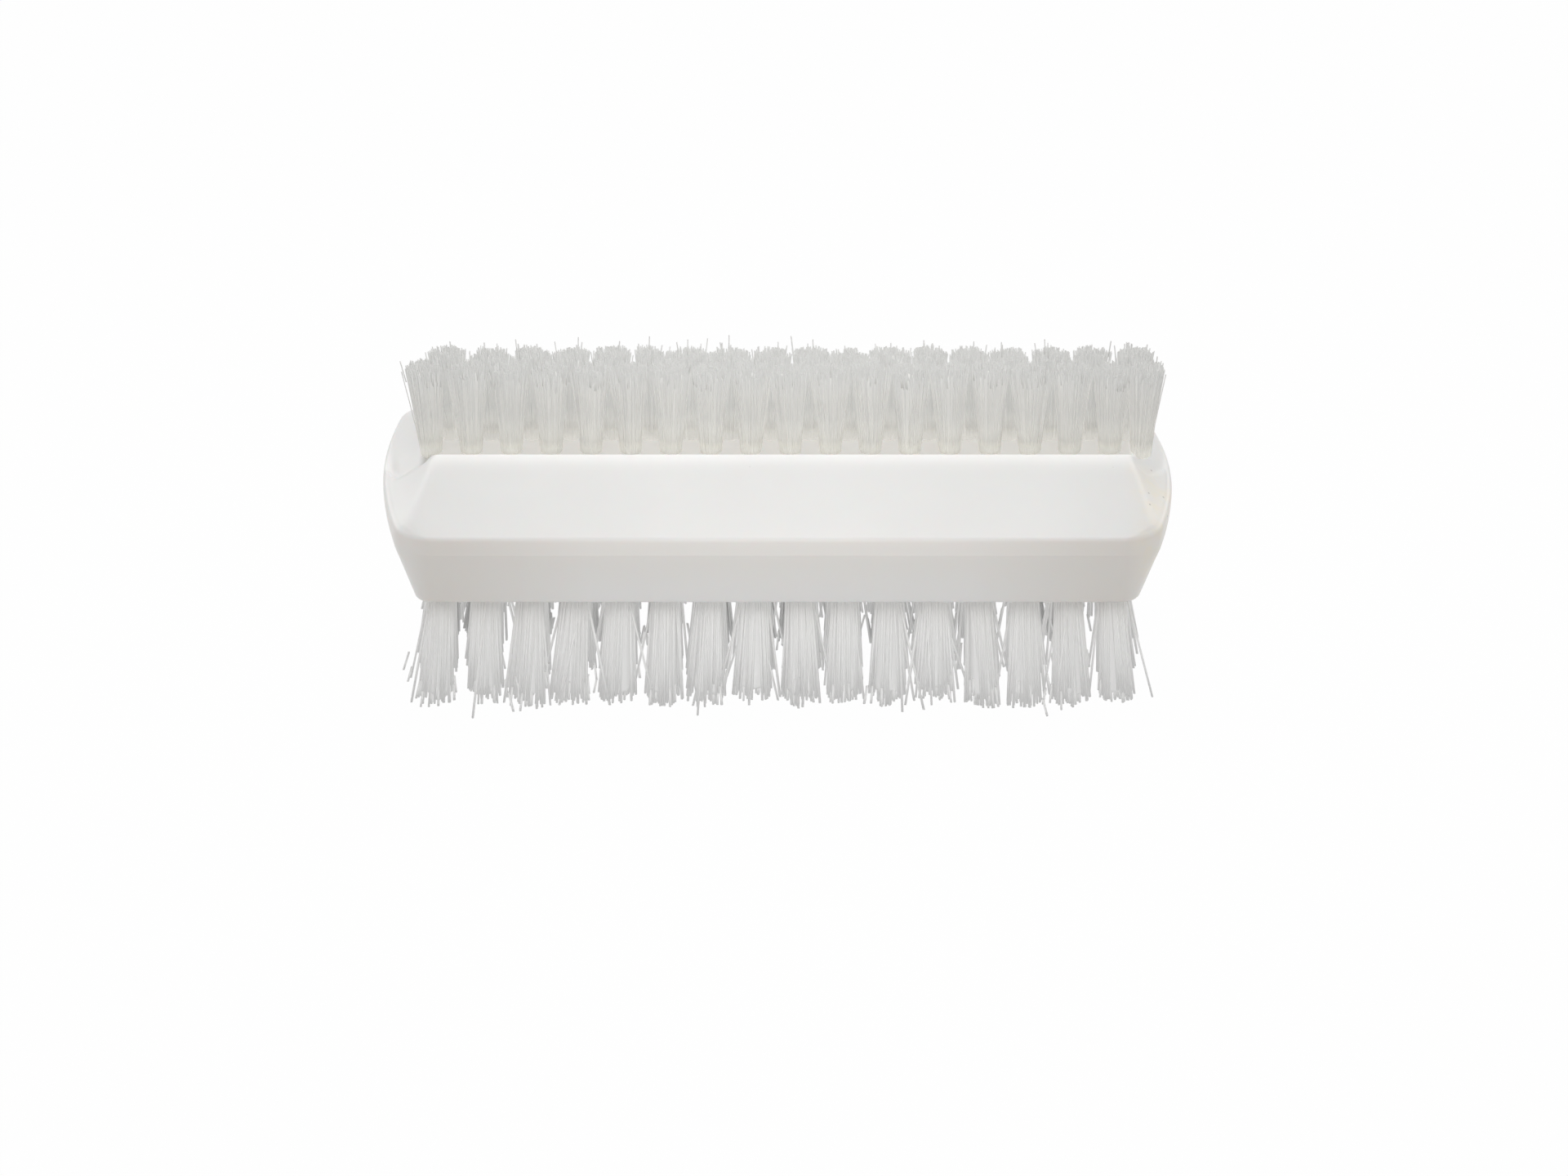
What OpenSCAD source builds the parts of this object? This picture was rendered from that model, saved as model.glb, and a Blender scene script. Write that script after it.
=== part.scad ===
// Two-sided nail brush in millimetres, +Z up, standing on the cut ends of its stiff bristles.
// The origin is on that standing plane under the middle of the block, and +X runs along the block.
// The crest carries two staggered rows of finer tufts, the underside four rows of stiff ones.
// Every tuft is a bundle folded over a flat wire anchor and driven into its own blind bore.

/* [Block] */
// Length of the block between its two belt ends
block_l = 118; // [104:1:150]
// Width of the block across its belt
block_w = 49; // [46:1:60]
// Height of the upright band round the belt
band_h = 2.7; // [1.5:0.1:5]
// Rise of the roof from the belt band to the crest
roof_h = 4.85; // [4:0.05:7]
// Depth of the block from the belt band down to the bristle face
keel_h = 9.9; // [8.5:0.1:14]
// Radius of the bowed belt ends, seen from above
end_r = 72; // [64:1:110]
// Radius of the four belt corners, seen from above
corner_r = 5; // [2:0.5:8]
// How far the bristle face is drawn in from the belt on the long sides
keel_inset = 4.6; // [2:0.1:6]
// How far the bristle face is drawn in from the belt at the ends
keel_end_inset = 2.2; // [1:0.1:4]
// How far the crest stops short of the belt ends
ridge_inset = 6.4; // [5:0.1:9]
// Offset of the crest and its tufts along the block
top_shift = 1.2; // [0:0.1:1.4]

/* [Channel on the crest] */
// Half width between the two crests, where the roof turns level
crest_half = 7; // [6:0.1:9]
// Width of the shallow channel that the upper tufts stand in
channel_w = 8.8; // [8.6:0.1:10]
// Depth of the channel below the crest
channel_d = 1.4; // [0.8:0.1:2]

/* [Edge rounding] */
// Radius where the roof rolls over into the crest
crest_r = 18; // [4:1:20]
// Radius at the two rims of the channel
rim_r = 0.4; // [0.2:0.05:0.6]
// Radius at the upper edge of the belt band
band_top_r = 0.9; // [0.3:0.1:1.2]
// Radius at the lower edge of the belt band
band_low_r = 0.6; // [0.3:0.1:1.2]
// Radius round the bristle face
foot_r = 1.2; // [0.4:0.1:2]
// Radius where the crest drops to the belt ends
ridge_end_r = 3; // [1:0.5:4]

/* [Upper tufts] */
// Diameter of an upper tuft at its bore
upper_tuft_d = 3.5; // [2.8:0.1:3.8]
// Spacing of the upper tufts along a row
upper_pitch = 5.9; // [5.5:0.1:8]
// Distance between the two upper rows
upper_row_gap = 4.5; // [4.3:0.1:4.8]
// Free length of the upper bristles above the channel floor
upper_free_l = 14.4; // [10:0.1:20]
// Least distance from a belt end to the first upper tuft
upper_margin = 5.8; // [5.6:0.1:12]

/* [Lower tufts] */
// Diameter of a lower tuft at its bore
lower_tuft_d = 4.4; // [3.6:0.1:4.8]
// Spacing of the lower tufts along a row
lower_pitch = 6.65; // [6.4:0.05:9]
// Distance between the two middle ones of the four lower rows
lower_row_gap = 10.3; // [7:0.1:10.8]
// Distance from the outer lower rows to the long edges of the bristle face
lower_side_margin = 4.45; // [4:0.05:7]
// Free length of the lower bristles, from the bristle face to the standing plane
lower_free_l = 18.15; // [12:0.05:24]
// Least distance from a belt end to the first lower tuft
lower_margin = 9; // [8:0.1:14]

/* [Wire anchors] */
// Thickness of the flat anchor wire
anchor_t = 0.4; // [0.3:0.05:0.6]
// Height of the anchor wire, edge on to the bore
anchor_h = 1.6; // [1:0.1:2]
// How far each end of an anchor bites into the wall beside its bore
anchor_bite = 0.6; // [0.3:0.05:0.8]

/* [Roots and slices] */
// Thickness of the slice of block that each row of tufts is fused to
slice_t = 1; // [0.8:0.1:1.2]
// Margin of a slice on each side of its tufts
slice_rim = 0.2; // [0.2:0.05:0.4]
// Depth of the blind bore below a slice
bore_l = 5; // [3.5:0.1:5.5]
// Length of folded bristle below the anchor wire
fold_l = 0.9; // [0.5:0.1:1.2]

/* [Hidden] */
$fn = 64;

// Clearances and the overrun of every cut
slice_gap = 0.08;   // beside a slice in its groove
bore_gap = 0.08;    // between a folded root and its bore, and below its end
anchor_gap = 0.04;  // round an anchor wire
overrun = 1;        // of every cut past what it cuts

// Strands: each one stands for a bunch of bristles, and a tuft has four
strand_sides = 3;
strands_per_tuft = 4;
foot_sink = 0.6;         // how far a strand's foot is sunk in its slice
upper_strand_d = 1.35;   // strand of an upper tuft at the foot
upper_tip_d = 1.15;      // and at its cut end
lower_strand_d = 1.75;   // strand of a lower tuft at the foot
lower_tip_d = 1.5;       // and at its cut end
foot_ring_share = 0.27;  // radius of the ring of feet, as a share of the tuft
upper_splay_share = 0.21;  // how far the tips spread beyond the feet, as a share of the tuft
lower_splay_share = 0.18;
wander_share = 0.16;     // small uneven drift of the tips, as a share of the strand
upper_end_lean = 2.4;    // how far the last tufts of a row lean out at their tips
lower_end_lean = 1.4;
upper_ragged = 0.7;      // unevenness of the upper tips
lower_ragged = 0.9;
standing_cut = 0.5;      // longest bristles are cut back this much by the standing plane
lean_power = 7;          // only the last tufts lean
wander_turn = 137.5;     // angle step that keeps neighbours unlike each other
arc_steps = 6;           // points of a rounded corner
side_share = 0.45;       // most of a short side that a rounded corner may take

// Heights
face_z = lower_free_l;
band_z = face_z + keel_h;
band_top_z = band_z + band_h;
crest_z = band_top_z + roof_h;
floor_z = crest_z - channel_d;

// Spread of the tips beyond the feet
upper_splay = upper_tuft_d * upper_splay_share;
lower_splay = lower_tuft_d * lower_splay_share;

// Rows
upper_count = floor((block_l - 2 * upper_margin) / upper_pitch) + 1;
lower_count = floor((block_l - 2 * lower_margin) / lower_pitch) + 1;
upper_front_x = row_places(upper_count, upper_pitch, top_shift);
upper_rear_x = row_places(upper_count - 1, upper_pitch, top_shift);
lower_x = row_places(lower_count, lower_pitch, 0);
upper_front_y = -upper_row_gap / 2;
upper_rear_y = upper_row_gap / 2;
lower_outer_y = block_w / 2 - keel_inset - lower_side_margin;
lower_row_y = [-lower_outer_y, -lower_row_gap / 2, lower_row_gap / 2, lower_outer_y];

function row_places(count, pitch, shift) =
    [for (i = [0 : count - 1]) (i - (count - 1) / 2) * pitch + shift];

function unit(v) = v / norm(v);

// Points of an arc of radius r that rounds the corner p between its neighbours a and b.
// The radius shrinks where the sides beside the corner are too short for it.
function corner_arc(a, p, b, r) =
    let (
        u = unit(a - p),
        w = unit(b - p),
        half = acos(u * w) / 2,
        reach = min(r / tan(half), side_share * min(norm(a - p), norm(b - p))),
        radius = reach * tan(half),
        centre = p + unit(u + w) * radius / sin(half),
        first = p + u * reach - centre,
        last = p + w * reach - centre,
        start = atan2(first.y, first.x),
        turn = (cross(first, last) > 0 ? 1 : -1) * acos(unit(first) * unit(last))
    )
    [for (i = [0 : arc_steps]) centre + radius * unit_at(start + turn * i / arc_steps)];

function unit_at(angle) = [cos(angle), sin(angle)];

// A list of corners [x, y, radius] turned into a rounded outline; a radius of 0 stays sharp.
function rounded(corners) = [
    for (i = [0 : len(corners) - 1])
        let (
            n = len(corners),
            before = corners[(i + n - 1) % n],
            here = corners[i],
            after = corners[(i + 1) % n],
            p = [here.x, here.y]
        )
        each (here.z == 0 ? [p] : corner_arc([before.x, before.y], p, [after.x, after.y], here.z))
];

// Half of the cross-section, from the bristle face up to the channel floor
half_section = [
    [block_w / 2 - keel_inset, face_z, foot_r],
    [block_w / 2, band_z, band_low_r],
    [block_w / 2, band_top_z, band_top_r],
    [crest_half, crest_z, crest_r],
    [channel_w / 2, crest_z, rim_r],
    [channel_w / 2, floor_z, 0]
];
section = concat(
    half_section,
    [for (i = [len(half_section) - 1 : -1 : 0]) [-half_section[i].x, half_section[i].y, half_section[i].z]]
);

// The bar that the section makes, longer than the block by the overrun
module section_bar() {
    rotate([90, 0, 90])
        linear_extrude(height = block_l + 2 * overrun, center = true)
            polygon(rounded(section));
}

// A wide disc turned about an upright axis, whose rim is one end of the block
module end_disc(side) {
    rim = [
        [0, face_z, 0],
        [end_r - keel_end_inset, face_z, foot_r],
        [end_r, band_z, band_low_r],
        [end_r, band_top_z, band_top_r],
        [end_r - ridge_inset + side * top_shift, crest_z, ridge_end_r],
        [0, crest_z, 0]
    ];
    translate([side * (block_l / 2 - end_r), 0, 0])
        rotate_extrude()
            polygon(rounded(rim));
}

// An upright prism that takes the four belt corners off along a rounded line.
// From each corner it runs on along the bowed end's tangent and outside the long side.
module corner_prism() {
    arc_y = block_w / 2 - corner_r;
    arc_x = block_l / 2 - end_r + sqrt(pow(end_r - corner_r, 2) - pow(arc_y, 2));
    end_angle = atan2(arc_y, arc_x - block_l / 2 + end_r);
    quarter = [
        [block_l / 2 - end_r + end_r / cos(end_angle), 0],
        for (i = [0 : arc_steps])
            let (t = end_angle + (90 - end_angle) * (i + 0.5) / (arc_steps + 1))
            [arc_x, arc_y] + corner_r * unit_at(t),
        [arc_x - overrun, block_w / 2 + overrun]
    ];
    left = [for (i = [len(quarter) - 1 : -1 : 0]) [-quarter[i].x, quarter[i].y]];
    outline = concat(quarter, left);
    lower = [for (i = [len(outline) - 1 : -1 : 0]) if (outline[i].y > 0) [outline[i].x, -outline[i].y]];
    below = face_z - overrun;
    above = crest_z + overrun;
    translate([0, 0, below])
        linear_extrude(height = above - below)
            polygon(concat(outline, lower));
}

// The outer form of the block, before anything is cut in it
module block_form() {
    intersection() {
        section_bar();
        end_disc(-1);
        end_disc(1);
        corner_prism();
    }
}

// Everything below stands on a row's own face: z = 0 is that face, +z points out along the bristles.

function anchor_z() = -slice_t - bore_l + bore_gap + fold_l + anchor_gap + anchor_h / 2;

// A strip of the face that a row stands on, longer than the block and as high above the face as asked
module face_strip(width, above) {
    translate([0, 0, (above - slice_t) / 2])
        cube([block_l + 2 * overrun, width, slice_t + above], center = true);
}

// The seat that the block has for one row: the slice's groove, its blind bores and the anchor kerfs
module row_seat(xs, tuft_d) {
    face_strip(tuft_d + 2 * slice_rim + 2 * slice_gap, overrun);
    for (x = xs) {
        translate([x, 0, -slice_t - bore_l]) cylinder(d = tuft_d, h = bore_l + slice_t / 2);
        translate([x, 0, anchor_z()])
            cube([
                tuft_d + 2 * anchor_bite + 2 * anchor_gap,
                anchor_t + 2 * anchor_gap,
                anchor_h + 2 * anchor_gap
            ], center = true);
    }
}

// Flat anchor wires, one across each bore, edge on, through the fold of the tuft
module row_anchors(xs, tuft_d) {
    for (x = xs)
        translate([x, 0, anchor_z()])
            cube([tuft_d + 2 * anchor_bite, anchor_t, anchor_h], center = true);
}

// The folded root of one tuft, with the way through it that its anchor wire fills
module folded_root(tuft_d) {
    root_l = bore_l - bore_gap;
    difference() {
        translate([0, 0, -slice_t - root_l])
            cylinder(d = tuft_d - 2 * bore_gap, h = root_l + slice_t / 2);
        translate([0, 0, anchor_z()])
            cube([tuft_d + overrun, anchor_t + 2 * anchor_gap, anchor_h + 2 * anchor_gap], center = true);
    }
}

// One strand: a tapering prism from its foot to its level cut end
module strand(foot, tip, foot_d, tip_d) {
    s = strand_sides;
    ring = [for (i = [0 : s - 1]) [cos(360 * i / s), sin(360 * i / s), 0]];
    polyhedron(
        points = concat(
            [for (p = ring) foot + foot_d / 2 * p],
            [for (p = ring) tip + tip_d / 2 * p]
        ),
        faces = concat(
            [for (i = [0 : s - 1]) [i, s + i, s + (i + 1) % s]],
            [for (i = [0 : s - 1]) [i, s + (i + 1) % s, (i + 1) % s]],
            [for (i = [1 : s - 2]) [0, i, i + 1]],
            [for (i = [1 : s - 2]) [s, s + i + 1, s + i]]
        )
    );
}

// The strands of one row. A tip's raw height is its free length less a ragged part, and nothing
// passes the cut height. Tips spread out from their feet, drift a little and lean at the row's ends.
module row_strands(xs, seed, tuft_d, foot_d, tip_d, raw_l, cut_l, ragged, splay, end_lean) {
    count = len(xs);
    foot_ring = tuft_d * foot_ring_share;
    for (i = [0 : count - 1], k = [0 : strands_per_tuft - 1]) {
        id = seed + strands_per_tuft * i + k;
        around = 360 * (k + 0.5) / strands_per_tuft;
        out = unit_at(around);
        lean = end_lean * pow(2 * i / (count - 1) - 1, lean_power);
        drift = foot_d * wander_share * unit_at(id * wander_turn);
        height = min(cut_l, raw_l - ragged * (1 + sin(id * wander_turn * 2)) / 2);
        foot = [xs[i] + foot_ring * out.x, foot_ring * out.y, -foot_sink];
        tip = [
            xs[i] + (foot_ring + splay) * out.x + lean + drift.x,
            (foot_ring + splay) * out.y + drift.y,
            height
        ];
        strand(foot, tip, foot_d, tip_d);
    }
}

// A row's slice, cut off flush with the two ends of the block
module upper_slice(y) {
    intersection() {
        translate([0, y, floor_z]) face_strip(upper_tuft_d + 2 * slice_rim, 0);
        end_disc(-1);
        end_disc(1);
    }
}

module lower_slice(y) {
    intersection() {
        translate([0, y, face_z]) rotate([180, 0, 0]) face_strip(lower_tuft_d + 2 * slice_rim, 0);
        end_disc(-1);
        end_disc(1);
    }
}

module upper_row(xs, seed, y) {
    upper_slice(y);
    translate([0, y, floor_z]) {
        for (x = xs) translate([x, 0, 0]) folded_root(upper_tuft_d);
        row_strands(
            xs, seed, upper_tuft_d, upper_strand_d, upper_tip_d,
            upper_free_l, upper_free_l, upper_ragged, upper_splay, upper_end_lean
        );
    }
}

module lower_row(seed, y) {
    lower_slice(y);
    translate([0, y, face_z]) rotate([180, 0, 0]) {
        for (x = lower_x) translate([x, 0, 0]) folded_root(lower_tuft_d);
        row_strands(
            lower_x, seed, lower_tuft_d, lower_strand_d, lower_tip_d,
            lower_free_l + standing_cut, lower_free_l, lower_ragged, lower_splay, lower_end_lean
        );
    }
}

// The moulded block, with the seats of its six rows
module brush_block() color([0.93, 0.93, 0.92])
    difference() {
        block_form();
        translate([0, upper_front_y, floor_z]) row_seat(upper_front_x, upper_tuft_d);
        translate([0, upper_rear_y, floor_z]) row_seat(upper_rear_x, upper_tuft_d);
        for (y = lower_row_y)
            translate([0, y, face_z]) rotate([180, 0, 0]) row_seat(lower_x, lower_tuft_d);
    }

// The finer tufts on the crest, the rear row half a pitch off the front one
module upper_tufts_front() color([0.9, 0.9, 0.87]) upper_row(upper_front_x, 1, upper_front_y);
module upper_tufts_rear() color([0.9, 0.9, 0.87]) upper_row(upper_rear_x, 101, upper_rear_y);

// The stiff tufts under the block, in four rows in line with each other
module lower_tufts_front() color([0.88, 0.89, 0.87]) lower_row(201, lower_row_y[0]);
module lower_tufts_mid_front() color([0.88, 0.89, 0.87]) lower_row(301, lower_row_y[1]);
module lower_tufts_mid_rear() color([0.88, 0.89, 0.87]) lower_row(401, lower_row_y[2]);
module lower_tufts_rear() color([0.88, 0.89, 0.87]) lower_row(501, lower_row_y[3]);

module upper_anchors(xs, y) color("silver")
    translate([0, y, floor_z]) row_anchors(xs, upper_tuft_d);
module lower_anchors(y) color("silver")
    translate([0, y, face_z]) rotate([180, 0, 0]) row_anchors(lower_x, lower_tuft_d);

brush_block();
upper_tufts_front();
upper_tufts_rear();
lower_tufts_front();
lower_tufts_mid_front();
lower_tufts_mid_rear();
lower_tufts_rear();
upper_anchors(upper_front_x, upper_front_y);  // upper_anchors_front
upper_anchors(upper_rear_x, upper_rear_y);  // upper_anchors_rear
lower_anchors(lower_row_y[0]);  // lower_anchors_front
lower_anchors(lower_row_y[1]);  // lower_anchors_mid_front
lower_anchors(lower_row_y[2]);  // lower_anchors_mid_rear
lower_anchors(lower_row_y[3]);  // lower_anchors_rear
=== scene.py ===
# %% [markdown]
# # A two-sided nail brush
#
# The brush is a white moulded block with six rows of bristle tufts. Two rows of fine tufts stand in a
# shallow channel on its roof, and four rows of stiff tufts stand under its flat face. The packed
# model holds the sizes. This lesson dresses it: a block with soft moulded edges, and thousands of
# single filaments in place of the plain strands. Lengths are worked out in millimetres, and one
# helper turns them into Blender's metres.

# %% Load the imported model
import math

import bpy
import numpy as np
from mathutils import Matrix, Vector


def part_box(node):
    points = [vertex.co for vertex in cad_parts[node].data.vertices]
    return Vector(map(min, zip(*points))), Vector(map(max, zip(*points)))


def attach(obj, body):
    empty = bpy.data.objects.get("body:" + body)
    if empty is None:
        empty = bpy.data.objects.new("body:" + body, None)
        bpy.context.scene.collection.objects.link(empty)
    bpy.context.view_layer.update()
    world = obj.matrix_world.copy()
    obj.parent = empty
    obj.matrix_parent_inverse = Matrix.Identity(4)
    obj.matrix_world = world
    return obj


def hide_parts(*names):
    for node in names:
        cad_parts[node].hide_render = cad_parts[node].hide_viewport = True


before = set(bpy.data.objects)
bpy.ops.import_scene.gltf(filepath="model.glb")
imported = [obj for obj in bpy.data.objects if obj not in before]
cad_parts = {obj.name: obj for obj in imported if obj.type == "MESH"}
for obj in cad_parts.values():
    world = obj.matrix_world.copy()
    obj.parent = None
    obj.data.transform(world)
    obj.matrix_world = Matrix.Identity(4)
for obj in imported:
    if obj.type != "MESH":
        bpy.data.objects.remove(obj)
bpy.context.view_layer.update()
MM = 0.001
print("packed nodes:", ", ".join(sorted(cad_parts)))

# %% [markdown]
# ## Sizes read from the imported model
#
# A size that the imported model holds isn't typed again. A node's box gives its corners, so the block's
# length, width and heights come from the block, and the places of the rows from their anchor wires.
# Only the rear row of the crest stands a little further back than its wires.

# %% Sizes of the block and places of the rows
UPPER_ROWS = ("upper_tufts_front", "upper_tufts_rear")
LOWER_ROWS = (
    "lower_tufts_front", "lower_tufts_mid_front", "lower_tufts_mid_rear", "lower_tufts_rear",
)
REAR_ROW_BACK = 0.9


def box_mm(node):
    """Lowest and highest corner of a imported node, in millimetres."""
    low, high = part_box(node)
    return np.array(low) / MM, np.array(high) / MM


block_low, block_high = box_mm("brush_block")
half_length = (block_high[0] - block_low[0]) / 2
half_width = (block_high[1] - block_low[1]) / 2
face_z = block_low[2]
crest_z = block_high[2]


def row_middle(tufts):
    """Middle of a row, taken from its anchor wires: x and y in millimetres."""
    low, high = box_mm(tufts.replace("tufts", "anchors"))
    return (low[:2] + high[:2]) / 2


row_y = {name: row_middle(name)[1] for name in UPPER_ROWS + LOWER_ROWS}
row_y["upper_tufts_rear"] += REAR_ROW_BACK
upper_middle_x = row_middle("upper_tufts_front")[0]
upper_tip_z = box_mm("upper_tufts_front")[1][2]
print(f"block {2 * half_length:.1f} x {2 * half_width:.1f} mm")
print(f"face at {face_z:.2f} mm, crest at {crest_z:.2f} mm")
print("rows at y:", {name: round(float(y), 2) for name, y in row_y.items()})

# %% [markdown]
# ## Camera
#
# The brush is seen from the front and a little above, through a long lens, so its long edges stay
# nearly level. The camera could be placed by hand, but an angle, a distance and a point to look at
# are easier to read and to correct.

# %% Camera
VIEW_ELEVATION = math.radians(25)
VIEW_DISTANCE = 1.2
VIEW_LENS = 182.6
LOOK_AT = np.array([0.00104, 0.0, 0.0114])

camera_data = bpy.data.cameras.new("view_camera")
camera_data.lens = VIEW_LENS
camera_data.sensor_width = 36
camera_data.clip_start = 0.05
camera = bpy.data.objects.new("view_camera", camera_data)
back_off = np.array([0, -math.cos(VIEW_ELEVATION), math.sin(VIEW_ELEVATION)]) * VIEW_DISTANCE
camera.location = LOOK_AT + back_off
camera.rotation_euler = (math.pi / 2 - VIEW_ELEVATION, 0, 0)
bpy.context.scene.collection.objects.link(camera)
bpy.context.scene.camera = camera
bpy.context.scene.view_settings.view_transform = "Standard"
print("camera at", [round(float(v), 3) for v in camera.location])

# %% [markdown]
# ## Light
#
# The product stands in a white tent, whose even light is the world's colour. A panel of the tent's
# back wall is lit from behind and is much the brighter, so it puts a pale line on every rounded edge
# that faces up, and the two sides are a little brighter too. Three soft spots stand near the brush.
# The one overhead lights the roof, the high one in front lights the slope, and the low one in front
# lights the walls and the tufts. They are so near that the brush darkens a little towards its ends.

# %% The tent
TENT_COLOUR = (1.0, 0.995, 0.985, 1)
TENT_ROUND = 0.30
TENT_SIDES = 0.75
BACK_PANEL = 2.25
# Spans of a direction's x, y and z over which the sides and the panel's edges set in
SIDES_SPAN = (0.45, 0.8)
BACK_SPAN = (0.5, 0.85)
PANEL_LOW_EDGE = (0.1, 0.35)
PANEL_HIGH_EDGE = (0.65, 0.8)

world = bpy.data.worlds.new("white_tent")
world.use_nodes = True
world_link = world.node_tree.links.new
tent = world.node_tree.nodes["Background"]
tent.inputs["Color"].default_value = TENT_COLOUR


def tent_node(kind, *inputs, **settings):
    """A node of the tent's shader with its settings, fed by other outputs or by plain values."""
    node = world.node_tree.nodes.new("ShaderNode" + kind)
    for key, value in settings.items():
        setattr(node, key, value)
    for socket, value in zip(node.inputs, inputs):
        if isinstance(value, bpy.types.NodeSocket):
            world_link(value, socket)
        else:
            socket.default_value = value
    return node


def tent_ramp(value, start, end, low=0.0, high=1.0):
    """A value's span from start to end becomes the span from low to high, and stops there."""
    return tent_node("MapRange", value, start, end, low, high).outputs[0]


facing = tent_node("SeparateXYZ", tent_node("TexCoord").outputs["Generated"])
sideways = tent_node("Math", facing.outputs["X"], operation="ABSOLUTE").outputs[0]
towards_back = tent_ramp(facing.outputs["Y"], *BACK_SPAN)
above_floor = tent_ramp(facing.outputs["Z"], *PANEL_LOW_EDGE)
below_roof = tent_ramp(facing.outputs["Z"], *PANEL_HIGH_EDGE, BACK_PANEL, 0.0)
panel = tent_node("Math", towards_back, above_floor, operation="MULTIPLY").outputs[0]
panel = tent_node("Math", panel, below_roof, operation="MULTIPLY").outputs[0]
round_wall = tent_ramp(sideways, *SIDES_SPAN, TENT_ROUND, TENT_ROUND + TENT_SIDES)
tent_light = tent_node("Math", round_wall, panel)
world_link(tent_light.outputs[0], tent.inputs["Strength"])
path = tent_node("LightPath")
plain_white = tent_node("Background", (1, 1, 1, 1), 1.0)
choose = tent_node("MixShader", path.outputs["Is Camera Ray"], tent.outputs[0], plain_white.outputs[0])
world_link(choose.outputs[0], world.node_tree.nodes["World Output"].inputs["Surface"])
bpy.context.scene.world = world
print("tent strength", TENT_ROUND, "and", BACK_PANEL, "more in its back panel")

# %% The three spots
SPOT_CONE = 60
SPOT_AIM_HEIGHT = 0.03


def soft_spot(name, elevation, distance, radius, power):
    """A spot lamp in the plane across the brush, aimed at its middle. The elevation is counted in
    degrees from the front, distance and radius are in metres, and the power is in watts. The
    brightness at the brush's ends falls with the distance and the slant."""
    lamp = bpy.data.lights.new(name, "SPOT")
    lamp.energy = power
    lamp.spot_size = math.radians(SPOT_CONE)
    lamp.spot_blend = 1.0
    lamp.shadow_soft_size = radius
    holder = bpy.data.objects.new(name, lamp)
    elevation = math.radians(elevation)
    forward, up = -math.cos(elevation) * distance, math.sin(elevation) * distance
    holder.location = (0, forward, SPOT_AIM_HEIGHT + up)
    holder.rotation_euler = (math.pi / 2 - elevation, 0, 0)
    holder.visible_camera = False
    bpy.context.scene.collection.objects.link(holder)
    print(name, power, "W at", [round(value, 2) for value in holder.location])


soft_spot("top_spot", 100, 0.35, 0.1, 1.6)
soft_spot("high_spot", 45, 0.3, 0.08, 0.7)
soft_spot("low_spot", 8, 0.19, 0.045, 0.26)

# %% [markdown]
# ## Helpers for surfaces
#
# Every new piece is an array of points and a list of faces. A grid of rows and columns gives the
# faces by counting alone, so no loop runs over the vertices.

# %% Surface helpers


def grid_faces(rows, columns, closed=False):
    """Four-sided faces of a grid whose points are numbered row by row.
    A closed grid also joins its last column to its first."""
    right = np.arange(columns if closed else columns - 1)
    here = np.arange(rows - 1)[:, None] * columns + right
    beside = np.arange(rows - 1)[:, None] * columns + (right + 1) % columns
    return np.stack([here, beside, beside + columns, here + columns], axis=-1).reshape(-1, 4)


def make_piece(name, points, faces, material, body="root"):
    """A smooth-shaded mesh object from points in millimetres."""
    mesh = bpy.data.meshes.new(name)
    mesh.from_pydata((np.asarray(points) * MM).tolist(), [], faces)
    mesh.polygons.foreach_set("use_smooth", [True] * len(mesh.polygons))
    mesh.materials.append(material)
    mesh.update()
    piece = bpy.data.objects.new(name, mesh)
    bpy.context.scene.collection.objects.link(piece)
    if body:
        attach(piece, body)
    return piece


def soft_min(a, b, blend):
    """The lower of two heights, with the crossing rounded off: inside the blend height the result
    dips below both by up to a quarter of it."""
    share = np.clip(0.5 + 0.5 * (b - a) / blend, 0, 1)
    return b + (a - b) * share - blend * share * (1 - share)


def ease(value):
    """A smooth step from 0 to 1."""
    value = np.clip(value, 0, 1)
    return value * value * (3 - 2 * value)


def new_material(name, **sockets):
    """A material with one Principled shader and its uniform values set on the shader itself."""
    material = bpy.data.materials.new(name)
    material.use_nodes = True
    shader = material.node_tree.nodes["Principled BSDF"]
    for socket, value in sockets.items():
        shader.inputs[socket.replace("_", " ")].default_value = value
    return material, shader


def add_node(material, kind, **settings):
    """A shader node of a kind, with its settings and the values of its inputs."""
    node = material.node_tree.nodes.new("ShaderNode" + kind)
    for key, value in settings.items():
        if key in node.inputs:
            node.inputs[key].default_value = value
        else:
            setattr(node, key, value)
    return node


print("helpers ready")

# %% [markdown]
# ## Floor
#
# The brush stands on a white sweep that can't be told from the background. The floor shows the
# camera mostly plain white, and keeps a little of its own shading for the brush's shadow. It also
# glows faintly, as a light table does, which lifts the walls that lean outwards.

# %% Floor
FLOOR_HALF = 3.0
FLOOR_COLOUR = (0.6, 0.6, 0.6, 1)
FLOOR_WHITE = 0.985
FLOOR_GLOW = 0.27

floor_material, floor_shader = new_material("white_sweep", Base_Color=FLOOR_COLOUR, Roughness=0.9)
floor_path = add_node(floor_material, "LightPath")
floor_glow = add_node(floor_material, "Emission")
floor_either = add_node(floor_material, "Math", operation="MAXIMUM")
floor_share = add_node(floor_material, "MapRange")
floor_share.inputs["To Min"].default_value = FLOOR_GLOW
floor_share.inputs["To Max"].default_value = FLOOR_WHITE
floor_mix = add_node(floor_material, "MixShader")
floor_surface = floor_material.node_tree.nodes["Material Output"].inputs["Surface"]
floor_link = floor_material.node_tree.links.new
floor_link(floor_path.outputs["Is Camera Ray"], floor_either.inputs[0])
floor_link(floor_path.outputs["Is Glossy Ray"], floor_either.inputs[1])
floor_link(floor_either.outputs[0], floor_share.inputs["Value"])
floor_link(floor_share.outputs[0], floor_mix.inputs[0])
floor_link(floor_shader.outputs[0], floor_mix.inputs[1])
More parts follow.
